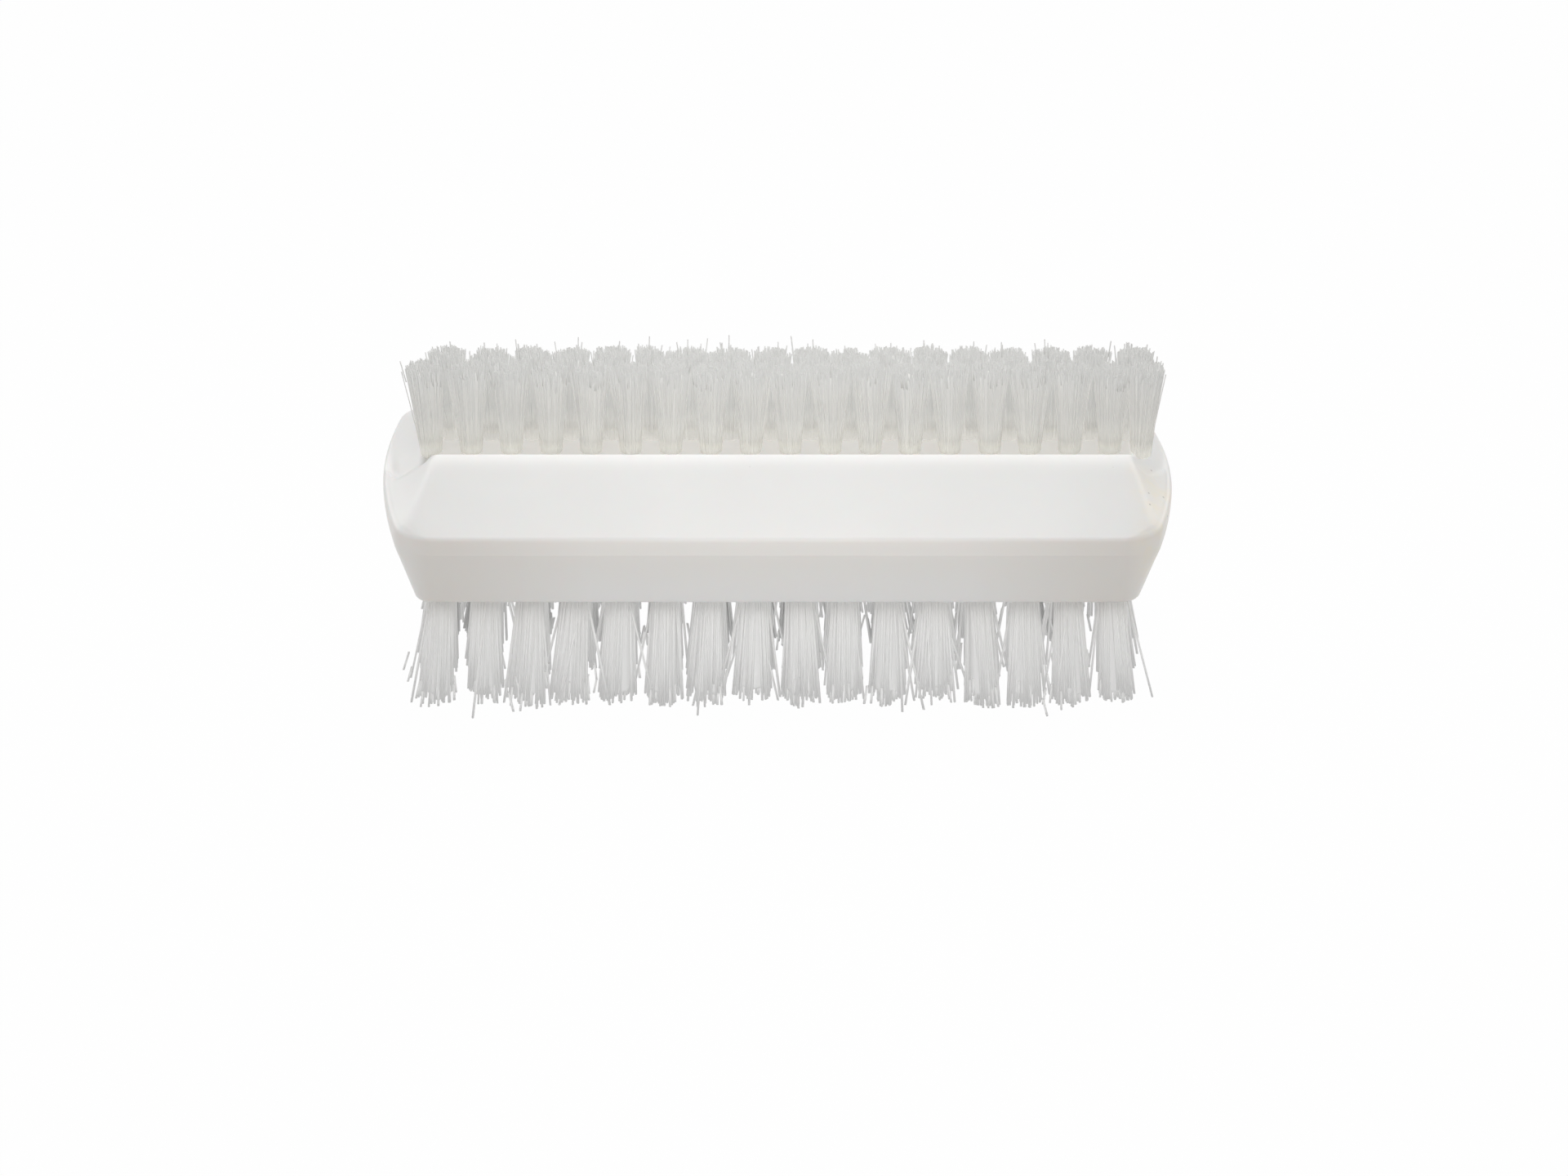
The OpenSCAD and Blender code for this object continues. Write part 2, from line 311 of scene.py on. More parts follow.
floor_link(floor_glow.outputs[0], floor_mix.inputs[2])
floor_link(floor_mix.outputs[0], floor_surface)

corners = np.array([[-1, -1, 0], [1, -1, 0], [1, 1, 0], [-1, 1, 0]]) * FLOOR_HALF / MM
floor = make_piece("floor", corners, [(0, 1, 2, 3)], floor_material, body=None)
print("floor", 2 * FLOOR_HALF, "m square")

# %% [markdown]
# ## The block's outline
#
# Seen from above the block is an oblong with slightly bowed ends and rounded corners. One outline
# goes round the belt, and a smaller one round the bristle face, whose ends are nearly straight. Each
# end is an arc, less a quarter circle at its two corners. The two ends of the real block aren't quite
# alike: its right end is fullest a little nearer to the viewer.

# %% Outlines seen from above
BAND_HEIGHT = 2.7
ROOF_RISE = 4.85
KEEL_HEIGHT = 9.9
band_top_z = crest_z - ROOF_RISE
band_low_z = band_top_z - BAND_HEIGHT
FACE_BOW = 400
KEEL_DRAWN_IN = 4.6
KEEL_END_DRAWN_IN = 5.0
# For the left end and the right end: radius of the belt's arc and its middle in y, corner radius at
# the belt and at the face
END_BOW = (100, 81)
END_MIDDLE = (1.5, -2.0)
BELT_CORNER = (4.5, 4.8)
FACE_CORNER = (2.2, 2.6)


def end_reach(side, y, width, drawn_in, corner, radius):
    """How far an end reaches from the block's middle, at y. It is an arc of the given radius, less a
    quarter circle within one corner radius of the long side."""
    bow = radius - np.sqrt(radius ** 2 - (y - END_MIDDLE[side]) ** 2)
    into_corner = np.clip((np.abs(y) - (width - corner)) / corner, 0, 1)
    return half_length - drawn_in - bow - corner * (1 - np.sqrt(1 - into_corner ** 2))


def belt_reach(side, y):
    """Reach of one end at the belt."""
    return end_reach(side, y, half_width, 0, BELT_CORNER[side], END_BOW[side])


print("belt reaches", round(float(belt_reach(1, 0.0)), 1), "mm at the middle of the right end")

# %% [markdown]
# ## The roof
#
# The top of the block is one height field over the outline: two long slopes, two short end slopes,
# and a level crest, each the lower of its neighbours with the crossings rounded. A height field is
# simple to compute and has no seams, but it needs its rows and columns close together wherever the
# surface bends, which are the belt's edge, the crest and the walls of the channel.

# %% Rows and columns of the roof
CREST_HALF = 7.0
CHANNEL_HALF = 4.4
CHANNEL_DEPTH = 0.55
CHANNEL_RIM = 0.4
# First step from the belt's edge, the y where one spacing of the rows ends and the next starts, and
# the length of the finely divided ends with the step of their columns
EDGE_STEP = 0.03
EDGE_ROWS_END = 10.5
CREST_ROWS_START = 9.6
FLOOR_ROWS_START = 3.8
END_ZONE = 13.0
END_STEP = 0.33


def growing(first, count, ratio):
    """Distances from an edge that start small and grow by a ratio."""
    return first * (ratio ** np.arange(count + 1) - 1) / (ratio - 1)


from_side = growing(EDGE_STEP, 17, 1.28)
from_side = from_side[from_side < half_width - EDGE_ROWS_END]
slope_rows = np.linspace(half_width - from_side[-1], CREST_ROWS_START, 9)[1:-1]
crest_rows = np.arange(CREST_ROWS_START, CHANNEL_HALF + CHANNEL_RIM, -0.3)
past_wall_top = [0.4, 0.3, 0.2, 0.12, 0.06, 0.02, -0.02, -0.06, -0.1, -0.14, -0.2, -0.3]
rim_rows = CHANNEL_HALF + np.array(past_wall_top)
floor_rows = np.arange(FLOOR_ROWS_START, 0.0, -0.2)
half_rows = np.concatenate([half_width - from_side, slope_rows, crest_rows, rim_rows, floor_rows])
roof_y = np.unique(np.round(np.concatenate([-half_rows, [0.0], half_rows]), 4))

near_edge = growing(EDGE_STEP, 11, 1.35)
end_slope_columns = np.arange(near_edge[-1] + END_STEP, END_ZONE, END_STEP)
end_columns = np.concatenate([near_edge, end_slope_columns, [END_ZONE]])
middle_share = np.linspace(-1, 1, 41)[1:-1]
print(len(roof_y), "rows and", 2 * len(end_columns) + len(middle_share), "columns")

# %% Places of the roof's points
y_column = roof_y[:, None]
left_x = -belt_reach(0, y_column) + end_columns
right_x = belt_reach(1, y_column) - end_columns[::-1]
left_inner, right_inner = left_x[:, -1:], right_x[:, :1]
middle_x = left_inner + (right_inner - left_inner) * (middle_share + 1) / 2
roof_x = np.concatenate([left_x, middle_x, right_x], axis=1)
roof_y_grid = np.broadcast_to(y_column, roof_x.shape)
print("roof grid", roof_x.shape)

# %% [markdown]
# The end slopes start at the ends of the crest, which lies a little to the right of the block's
# middle. They are slightly hollow, so they steepen towards the crest. Where the mould's two halves
# meet, the real end slopes have a shallow dent beside a fine crease, deeper at the left end.

# %% Height of the roof
CREST_REACH = (51.4, 52.9)
END_RUN = (half_length - CREST_REACH[0], half_length - CREST_REACH[1])
HIP_BLEND = 0.8
HIP_GROWTH = 2.0
HIP_LEAST = 0.01
CREST_BLEND = 0.75
EDGE_ROUND = 0.8
END_EDGE_ROUND = 0.7
END_HOLLOW = 0.3
HOLLOW_LIMIT = 1.5
CHANNEL_BLEND = 0.25
CHANNEL_WALL = 0.16
# The dent: depth and crease at the left and the right end, then the sizes of its lip and its fades
DENT_DEPTH = (1.1, 0.45)
CREASE_Y = (-5.5, -7.5)
CREASE_TURN = (2.5, 4.0)
DENT_LIP = 3.2
DENT_WIDTH = 4.5
DENT_FADE = 1.2
DENT_FADE_POWER = 1.5
DENT_START = 1.5
DENT_PAST_SLOPE = 0.5
DENT_END = 2.0


def end_facing(side, y):
    """How far the outline faces along x at y: 1 on the end, down to 0 where it meets the long side."""
    step = 0.001
    inner = np.clip(np.abs(y) - step, 0, half_width)
    slope = (belt_reach(side, inner) - belt_reach(side, inner + step)) / step
    return 1 / np.sqrt(1 + slope ** 2)


def edge_values(side, y):
    """Roof slope, rounding radius and height of the belt's upper edge at y, blended from the long
    side to the end. The rounding's arc touches both the slope and the upright wall."""
    facing = ease(end_facing(side, y))
    side_slope = ROOF_RISE / (half_width - CREST_HALF)
    end_slope = (1 - END_HOLLOW) * ROOF_RISE / END_RUN[side]
    slope = side_slope + (end_slope - side_slope) * facing
    radius = EDGE_ROUND + (END_EDGE_ROUND - EDGE_ROUND) * facing
    return slope, radius, band_top_z + radius * slope - radius * np.sqrt(1 + slope ** 2)


def dent(side, from_end, y):
    """Depth of the moulding dent behind the crease on an end slope. The crease turns forwards from
    the belt's edge and then runs up to the crest. The dent deepens over its lip and fades out over
    its width towards the back, and towards the slope's upper and lower edge."""
    crease_y = CREASE_Y[side] * ease(from_end / CREASE_TURN[side])
    behind = (y - crease_y) / DENT_WIDTH
    lip = np.clip((y - crease_y) / DENT_LIP, 0, 1)
    across = lip * (2 - lip) * np.exp(-np.maximum(behind, 0) ** DENT_FADE_POWER * DENT_FADE)
    to_top = END_RUN[side] + DENT_PAST_SLOPE - from_end
    return DENT_DEPTH[side] * across * ease(from_end / DENT_START) * ease(to_top / DENT_END)


def roof_height(x, y):
    """Height of the top surface: the lower of the long slope, the end slope and the crest, less the
    dents, then cut by the channel and rounded down to the belt's edge."""
    side = (x > 0).astype(int)
    reach = np.where(side, belt_reach(1, y), belt_reach(0, y))
    from_end = np.maximum(reach - np.abs(x), 0)
    from_side = half_width - np.abs(y)
    share = from_end / np.where(side, END_RUN[1], END_RUN[0])
    long_slope = band_top_z + from_side * ROOF_RISE / (half_width - CREST_HALF)
    hollow = 1 - END_HOLLOW + END_HOLLOW * np.minimum(share, HOLLOW_LIMIT)
    end_slope = band_top_z + ROOF_RISE * share * hollow
    hip = HIP_BLEND * ease(np.minimum(from_end, from_side) / HIP_GROWTH) + HIP_LEAST
    height = soft_min(soft_min(long_slope, end_slope, hip), crest_z, CREST_BLEND)
    height = height - np.where(side, dent(1, from_end, y), dent(0, from_end, y))
    past_wall = np.clip((CHANNEL_HALF + CHANNEL_RIM - np.abs(y)) / CHANNEL_RIM, 0, 1)
    rim = crest_z - CHANNEL_RIM * (1 - np.sqrt(1 - past_wall ** 2))
    wall = ease((np.abs(y) - CHANNEL_HALF + CHANNEL_WALL) / CHANNEL_WALL)
    trough = crest_z - CHANNEL_DEPTH + (rim - crest_z + CHANNEL_DEPTH) * wall
    in_channel = np.abs(y) < CHANNEL_HALF + CHANNEL_RIM
    height = np.where(in_channel, soft_min(height, trough, CHANNEL_BLEND), height)
    left_edge, right_edge = edge_values(0, y), edge_values(1, y)
    radius = np.where(side, right_edge[1], left_edge[1])
    base = np.where(side, right_edge[2], left_edge[2])
    facing = np.where(side, end_facing(1, y), end_facing(0, y))
    from_edge = np.minimum(from_side, from_end * facing)
    into = np.clip(from_edge / radius, 0, 1)
    rounded = base + radius * np.sqrt(1 - (1 - into) ** 2)
    return np.where(into < 1, np.minimum(height, rounded), height)


roof_z = roof_height(roof_x, roof_y_grid)
roof_points = np.stack([roof_x, roof_y_grid, roof_z], axis=-1)
print(f"roof from {roof_z.min():.2f} to {roof_z.max():.2f} mm")

# %% [markdown]
# ## The walls
#
# Below the roof's edge the surface is a stack of rings, each the belt's outline drawn in a little
# more: down the upright band, round its lower edge, down the tapering keel, and round the foot to
# the flat face. The last ring is closed by one flat face.

# %% Rings round the belt and the bristle face


def loop_of(grid):
    """The outer points of a grid in order, the near row first and then the right end."""
    return np.concatenate([grid[0, :-1], grid[:-1, -1], grid[-1, :0:-1], grid[:0:-1, 0]])


def face_outline():
    """The bristle face's outline at the same stations as the belt's. Along an end, the arc part and
    the corner part each keep their share. A long side is scaled to its new length."""
    width = half_width - KEEL_DRAWN_IN
    belt_y, rows = roof_y, []
    for side in (0, 1):
        belt_corner, corner = BELT_CORNER[side], FACE_CORNER[side]
        arc_share = np.clip(np.abs(belt_y) / (half_width - belt_corner), 0, 1)
        corner_share = np.clip((np.abs(belt_y) - (half_width - belt_corner)) / belt_corner, 0, 1)
        y = np.sign(belt_y) * ((width - corner) * arc_share + corner * corner_share)
        rows.append((end_reach(side, y, width, KEEL_END_DRAWN_IN, corner, FACE_BOW), y))
    grid = np.zeros(roof_x.shape + (2,))
    share = (roof_x - roof_x[:, :1]) / (roof_x[:, -1:] - roof_x[:, :1])
    (left_reach, left_y), (right_reach, right_y) = rows
    grid[..., 0] = -left_reach[:, None] * (1 - share) + right_reach[:, None] * share
    grid[..., 1] = left_y[:, None] * (1 - share) + right_y[:, None] * share
    return loop_of(grid)


belt_loop = loop_of(roof_points)
face_loop = face_outline()
along = np.roll(face_loop, -1, axis=0) - np.roll(face_loop, 1, axis=0)
inward = np.stack([-along[:, 1], along[:, 0]], axis=1)
inward /= np.linalg.norm(inward, axis=1, keepdims=True)
print("loop of", len(belt_loop), "points")

# %% Profile of the walls
BAND_LOW_ROUND = 0.5
BAND_LOW_END_ROUND = 9.0
FOOT_ROUND = 1.1
BAND_SHARES = (0.34, 0.67)
# Rings of the turn into the keel, of the keel's wall and of its foot
TURN_RINGS = 6
WALL_RINGS = 7
FOOT_RINGS = 8

drawn_in = np.einsum("ij,ij->i", face_loop - belt_loop[:, :2], inward)
lean = np.arctan2(drawn_in, KEEL_HEIGHT)
end_share = ease(np.abs(inward[:, 0]))
low_round = BAND_LOW_ROUND + (BAND_LOW_END_ROUND - BAND_LOW_ROUND) * end_share


def wall_ring(share):
    """Points of the keel's wall at a share of its height, from the band down to the face."""
    ring = np.empty((len(belt_loop), 3))
    ring[:, :2] = belt_loop[:, :2] + (face_loop - belt_loop[:, :2]) * share[:, None]
    ring[:, 2] = band_low_z - KEEL_HEIGHT * share
    return ring


def turn_ring(start, radius, first_angle, angle):
    """Points on an arc that starts along a wall leaning in by the first angle and turns inwards to
    the given one: in by radius times the loss of cosine, down by radius times the gain of sine."""
    ring = start.copy()
    ring[:, :2] += inward * (radius * (np.cos(first_angle) - np.cos(angle)))[:, None]
    ring[:, 2] -= radius * (np.sin(angle) - np.sin(first_angle))
    return ring


rings = []
tangent = low_round * np.tan(lean / 2)
band_start = belt_loop.copy()
band_start[:, 2] = band_low_z + tangent
for share in BAND_SHARES:
    rings.append(belt_loop + (band_start - belt_loop) * share)
for share in np.linspace(0, 1, TURN_RINGS):
    rings.append(turn_ring(band_start, low_round, np.zeros_like(lean), lean * share))
wall_top = tangent * np.cos(lean) / KEEL_HEIGHT
foot_tangent = FOOT_ROUND * np.tan((math.pi / 2 - lean) / 2)
wall_foot = 1 - foot_tangent * np.cos(lean) / KEEL_HEIGHT
for share in np.linspace(0, 1, WALL_RINGS)[1:]:
    rings.append(wall_ring(wall_top + (wall_foot - wall_top) * share))
foot_start = rings[-1]
for share in np.linspace(0, 1, FOOT_RINGS)[1:]:
    rings.append(turn_ring(foot_start, FOOT_ROUND, lean, lean + (math.pi / 2 - lean) * share))
print(len(rings), "rings below the roof, the last at", round(float(rings[-1][:, 2].min()), 2), "mm")

# %% [markdown]
# ## White moulded plastic
#
# The block is white plastic with a soft gloss. A plain white would look like paper, so the colour
# drifts a little over the block as in the thick moulding, the right end is slightly yellowed by use,
# a few dark specks of dust sit in it, and a very fine grain breaks up its highlights. The walls are
# a little warmer. Shade and light are painted into the colour as well: painted shade darkens the
# walls towards the corners and the channel between the tufts, and painted light from below makes
# the keel's foot paler.

# %% Finish of the block
PLASTIC_WHITE = (0.75, 0.75, 0.74, 1)
PLASTIC_SHADE = (0.73, 0.728, 0.718, 1)
PLASTIC_WALL = (0.755, 0.740, 0.712, 1)
# Painted shade: the walls darken towards the corners
PLASTIC_CORNER_SHADE = (0.71, 0.685, 0.65, 1)
# Painted light: the keel's foot is paler, as if lit from below
PLASTIC_LIT_FOOT = (0.77, 0.765, 0.755, 1)
# Painted shade: the channel between the tufts is darker
PAINTED_CHANNEL_SHADE = (0.47, 0.455, 0.42, 1)
PLASTIC_YELLOWED = (0.77, 0.725, 0.62, 1)
SPECK_GREY = (0.42, 0.40, 0.37, 1)
# Spans in millimetres over which a tone sets in, then spans of noise values
WALL_TOP = (band_top_z, band_top_z - 0.5)
LIT_FOOT_SPAN = (band_low_z - 2, face_z + 1)
# Where the painted shade towards the corners sets in and where it stops
CORNER_SHADE_SPAN = (28, 48)
CORNER_SHADE_STOPS = (54.5, 51.5)
# Where the channel's painted shade sets in
CHANNEL_TOP = (crest_z - 0.25, crest_z - 0.45)
CHANNEL_SIDE = (4.3, 4.1)
CHANNEL_END = (53.5, 52.5)
YELLOWED_END = (51.5, 55.0)
YELLOWED_FRONT = (-2, -9)
SPECK_SIZE = (0.07, 0.11)
SPECKS_CHOSEN = (0.97, 0.98)
MORE_SPECKS_AT_END = 0.4
GLOSS = (0.29, 0.37)


def mix_colours(material, factor, first, second):
    """A Mix node for colours. First and second are colours or the outputs of other nodes."""
    mix = add_node(material, "Mix", data_type="RGBA")
    link = material.node_tree.links.new
    link(factor, mix.inputs[0])
    for socket, colour in ((mix.inputs[6], first), (mix.inputs[7], second)):
        if isinstance(colour, tuple):
            socket.default_value = colour
        else:
            link(colour, socket)
    return mix.outputs[2]


def range_of(material, value, from_min, from_max, to_min=0.0, to_max=1.0):
    """A Map Range node that clamps: the value's span becomes another span."""
    node = add_node(material, "MapRange")
    node.inputs["From Min"].default_value = from_min
    node.inputs["From Max"].default_value = from_max
    node.inputs["To Min"].default_value = to_min
    node.inputs["To Max"].default_value = to_max
    material.node_tree.links.new(value, node.inputs["Value"])
    return node.outputs[0]


def multiply(material, first, second):
    """Product of two values of a material."""
    node = add_node(material, "Math", operation="MULTIPLY")
    material.node_tree.links.new(first, node.inputs[0])
    material.node_tree.links.new(second, node.inputs[1])
    return node.outputs[0]


def size_of(material, value):
    """A value without its sign."""
    node = add_node(material, "Math", operation="ABSOLUTE")
    material.node_tree.links.new(value, node.inputs[0])
    return node.outputs[0]


def noise(material, place, scale, detail, **settings):
    """Cloudy noise at a place, around one half. Its scale counts the clouds in a metre."""
    node = add_node(material, "TexNoise", Scale=scale, Detail=detail, **settings)
    material.node_tree.links.new(place, node.inputs["Vector"])
    return node.outputs[0]


def within(material, place, span_mm):
    """How far a place along an axis has gone through a span given in millimetres, from 0 to 1."""
    return range_of(material, place, span_mm[0] * MM, span_mm[1] * MM)


print("helpers for materials ready")

# %% The plastic


def toned_by_place(material, colour, x, y, z):
    """The tones that keep to places: warmer walls, painted shade that darkens them towards the
    corners, painted light that makes their foot paler, and painted shade that darkens the channel."""
    far_x, far_y = size_of(material, x), size_of(material, y)
    on_wall = within(material, z, WALL_TOP)
    colour = mix_colours(material, on_wall, colour, PLASTIC_WALL)
    # Painted light: the keel's foot turns paler, as if lit from below
    colour = mix_colours(material, within(material, z, LIT_FOOT_SPAN), colour, PLASTIC_LIT_FOOT)
    # Painted shade: the walls darken towards the corners
    shaded_corner = within(material, far_x, CORNER_SHADE_SPAN)
    shaded_corner = multiply(material, shaded_corner, within(material, far_x, CORNER_SHADE_STOPS))
    shaded_corner = multiply(material, shaded_corner, on_wall)
    colour = mix_colours(material, shaded_corner, colour, PLASTIC_CORNER_SHADE)
    # Painted shade: the channel between the tufts is darker
    in_channel = within(material, z, CHANNEL_TOP)
    in_channel = multiply(material, in_channel, within(material, far_y, CHANNEL_SIDE))
    in_channel = multiply(material, in_channel, within(material, far_x, CHANNEL_END))
    return mix_colours(material, in_channel, colour, PAINTED_CHANNEL_SHADE)


def specks(material, place, at_end):
    """Share of dust: the middles of a few chosen cells, and of more of them at the yellowed end."""
    link = material.node_tree.links.new
    dust = add_node(material, "TexVoronoi", Scale=500.0)
    link(place, dust.inputs["Vector"])
    near = range_of(material, dust.outputs["Distance"], *SPECK_SIZE, 1.0, 0.0)
    chosen = add_node(material, "SeparateColor")
    link(dust.outputs["Color"], chosen.inputs[0])
    share = add_node(material, "Math", operation="MULTIPLY_ADD")
    share.inputs[1].default_value = MORE_SPECKS_AT_END
    link(at_end, share.inputs[0])
    link(chosen.outputs[0], share.inputs[2])
    return multiply(material, near, range_of(material, share.outputs[0], *SPECKS_CHOSEN))


def block_plastic():
    """White moulded plastic: a drift of tone, the tones of its places with painted shade and
    painted light among them, a yellowed end, a few specks, and a very fine grain."""
    material, shader = new_material(
        "block_plastic", Roughness=0.3, IOR=1.5, Subsurface_Weight=0.12, Subsurface_Scale=0.004,
    )
    link = material.node_tree.links.new
    place = add_node(material, "TexCoord").outputs["Object"]
    drift = range_of(material, noise(material, place, 45.0, 3.0), 0.35, 0.65)
    colour = mix_colours(material, drift, PLASTIC_SHADE, PLASTIC_WHITE)
    axes = add_node(material, "SeparateXYZ")
    link(place, axes.inputs[0])
    x, y, z = (axes.outputs[axis] for axis in "XYZ")
    colour = toned_by_place(material, colour, x, y, z)
    at_end = multiply(material, within(material, x, YELLOWED_END), within(material, y, YELLOWED_FRONT))
    blotch = noise(material, place, 260.0, 4.0, Roughness=0.6)
    stain = multiply(material, at_end, range_of(material, blotch, 0.4, 0.6, 0.2, 0.8))
    colour = mix_colours(material, stain, colour, PLASTIC_YELLOWED)
    colour = mix_colours(material, specks(material, place, at_end), colour, SPECK_GREY)
    link(colour, shader.inputs["Base Color"])
    grain = noise(material, place, 700.0, 2.0)
    link(range_of(material, grain, 0.3, 0.7, *GLOSS), shader.inputs["Roughness"])
    bump = add_node(material, "Bump", Strength=0.03, Distance=0.0001)
    link(grain, bump.inputs["Height"])
    link(bump.outputs[0], shader.inputs["Normal"])
    return material


plastic = block_plastic()
print("material", plastic.name)

# %% The block
around = len(belt_loop)
roof_count = roof_points.shape[0] * roof_points.shape[1]
number = np.arange(roof_count).reshape(roof_points.shape[:2])
wall_numbers = np.concatenate([loop_of(number), roof_count + np.arange(len(rings) * around)])
wall_faces = wall_numbers[grid_faces(len(rings) + 1, around, closed=True)][:, ::-1]
bristle_face = wall_numbers[-around:][::-1]
roof_faces = grid_faces(*roof_points.shape[:2])
block_points = np.concatenate([roof_points.reshape(-1, 3), np.array(rings).reshape(-1, 3)])
block_faces = roof_faces.tolist() + wall_faces.tolist() + [bristle_face.tolist()]
block = make_piece("block_shell", block_points, block_faces, plastic)
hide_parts("brush_block")
print("block of", len(block_faces), "faces")

# %% [markdown]
# ## Filaments
#
# A tuft is a bundle of nylon filaments folded over a wire and pulled into its hole, so it leaves the
# hole as a tight round bundle and opens out towards its cut ends. A hair system could draw this, but
# it leaves the model when it is exported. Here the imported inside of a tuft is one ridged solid, its
# heart, and every filament round it and at its cut end is a thin prism of its own.

# %% Where a bundle's points go


def sunflower(count, inner, outer):
    """Spots that fill a ring of the unit disc evenly: the squared distance grows with the number,
    and the angle by the golden turn."""
    number = np.arange(count) + 0.5
    distance = np.sqrt(inner ** 2 + (outer ** 2 - inner ** 2) * number / count)
    angle = number * math.pi * (3 - math.sqrt(5))
    return np.stack([distance * np.cos(angle), distance * np.sin(angle)], axis=-1)


def in_bundle(tuft, spot, drift, short, t, look):
    """Points at share t of the length of filaments that start at a spot of the unit disc. A point
    leaves its foot by the opening, the lean and the drift times t to a power, so the bundle stays
    tight near its hole and flares at its end. The cut end is domed by the spot's squared distance."""
    foot = spot * look["foot"]
    flare = foot * (look["open"] - 1) + tuft["lean"] + drift
    across = tuft["middle"] + foot + flare * t ** look["power"]
    dome = look["dome"] * np.sum(spot ** 2, axis=-1, keepdims=True)
    length = tuft["length"] - dome - short
    height = tuft["base"] + tuft["up"] * length * t
    return np.concatenate(np.broadcast_arrays(across[..., :1], across[..., 1:], height), axis=-1)


print("nine spots:", sunflower(9, 0, 1).round(2).tolist()[:2], "...")

# %% Hearts of a row of tufts
HEART_COLUMNS = 44
# Shares of the length at which a heart has a ring, and the share of its width there
HEART_T = np.array([0.0, 0.15, 0.3, 0.45, 0.6, 0.75, 0.84, 0.875, 0.895, 0.9])
HEART_SHARE = np.array([1.0, 1.0, 1.0, 1.0, 1.0, 1.0, 1.0, 0.9, 0.55, 0.15])
HEART_TONES = (0.2, 0.8)
RIDGE = 0.03


def tube_faces(count, rings, around, up):
    """Faces of many closed tubes, each of some rings of points, with one flat face at each end.
    A tube whose rings go down is turned inside out by its order, so its faces are turned back."""
    number = np.arange(count * rings * around).reshape(count, -1)
    sides = grid_faces(rings, around, closed=True)
    ends = np.stack([np.arange(around)[::-1], (rings - 1) * around + np.arange(around)])
    if up < 0:
        sides, ends = sides[:, ::-1], ends[:, ::-1]
    return number[:, sides].reshape(-1, 4).tolist() + number[:, ends].reshape(-1, around).tolist()


def hearts(tufts, look, rng):
    """The solid inside of each tuft: rings of the bundle's own shape, ridged by every other column
    standing out a little, and closed by a low dome under the cut ends."""
    count = len(tufts["middle"])
    angle = np.arange(HEART_COLUMNS) * 2 * math.pi / HEART_COLUMNS
    ridged = 1 + RIDGE * (-1.0) ** np.arange(HEART_COLUMNS)
    share = look["heart"] * HEART_SHARE[:, None] * ridged
    spot = np.stack([share * np.cos(angle), share * np.sin(angle)], axis=-1)[None]
    each = {key: tufts[key][:, None, None] for key in ("middle", "lean", "length")}
    points = in_bundle({**tufts, **each}, spot, 0.0, 0.0, HEART_T[:, None, None], look)
    faces = tube_faces(count, len(HEART_T), HEART_COLUMNS, tufts["up"])
    streak = np.repeat(rng.uniform(*HEART_TONES, (count, 1, HEART_COLUMNS // 2)), 2, axis=2)
    tone = np.broadcast_to(streak, (count, len(HEART_T), HEART_COLUMNS))
    along = np.broadcast_to(HEART_T[:, None], (count, len(HEART_T), HEART_COLUMNS))
    return points.reshape(-1, 3), faces, tone.reshape(-1), along.reshape(-1)


print("a heart has", len(HEART_T), "rings of", HEART_COLUMNS, "points")

# %% Filaments of a row of tufts
THICKNESSES = (0.88, 1.12)


def filaments(tufts, look, spot, short, t, sides, rng):
    """Prisms along the filaments that start at each tuft's spots. Neighbours at the same side of a
    tuft share a clump's drift, and a few filaments stray."""
    count, per_tuft = spot.shape[:2]
    turn = np.arctan2(spot[..., 1], spot[..., 0]) / (2 * math.pi) + 1
    clump = (turn * look["clumps"]).astype(int) % look["clumps"]
    drift = rng.normal(0, look["clump"], (count, look["clumps"], 2))
    drift = np.take_along_axis(drift, clump[..., None], axis=1)
    drift = drift + rng.normal(0, look["own"], spot.shape)
    loose = rng.random((count, per_tuft, 1)) < look["strays"]
    stray = loose * rng.normal(0, look["far"], spot.shape)
    proud = loose[..., 0] * np.abs(rng.normal(0, look["proud"], (count, per_tuft)))
    step = np.abs(rng.normal(0, look["step"], (count, look["clumps"])))
    cut = np.take_along_axis(step, clump, axis=1)
    short = short + cut + np.abs(rng.normal(0, look["ragged"], (count, per_tuft))) - proud
    short = short[..., None, None]
    each = {key: tufts[key][:, None, None] for key in ("middle", "lean", "length")}
    wander = (drift + stray)[:, :, None]
    line = in_bundle({**tufts, **each}, spot[:, :, None], wander, short, t[:, None], look)
    corner = np.arange(sides) * 2 * math.pi / sides
    angle = rng.uniform(0, 2 * math.pi, (count, per_tuft, 1)) + corner
    thick = look["thick"] / 2 * rng.uniform(*THICKNESSES, (count, per_tuft, 1, 1))
    ring = np.stack([np.cos(angle), np.sin(angle), np.zeros_like(angle)], axis=-1) * thick
    points = line[:, :, :, None] + ring[:, :, None]
    faces = tube_faces(count * per_tuft, len(t), sides, tufts["up"])
    tone = np.repeat(rng.random(count * per_tuft), len(t) * sides)
    along = np.broadcast_to(t[:, None], (count, per_tuft, len(t), sides))
    return points.reshape(-1, 3), faces, tone, along.reshape(-1)


def add_values(piece, name, values):
    """Stores one number for each point of a piece, for its material to read."""
    attribute = piece.data.attributes.new(name, "FLOAT", "POINT")
    attribute.data.foreach_set("value", np.asarray(values, np.float32))


print("filaments vary in thickness by", THICKNESSES)

# %% One row of tufts
CUT_ENDS_START = 0.84
HEART_OVERLAP = 0.97


def sow(count, inner, outer, tufts, rng):
    """The same spots for every tuft of a row, each turned by its own angle."""
    spot = sunflower(count, inner, outer)
    turn = rng.uniform(0, 2 * math.pi, (len(tufts), 1))
    across, forward = spot[:, 0], spot[:, 1]
    turned_across = across * np.cos(turn) - forward * np.sin(turn)
    turned_forward = across * np.sin(turn) + forward * np.cos(turn)
    return np.stack([turned_across, turned_forward], axis=-1)


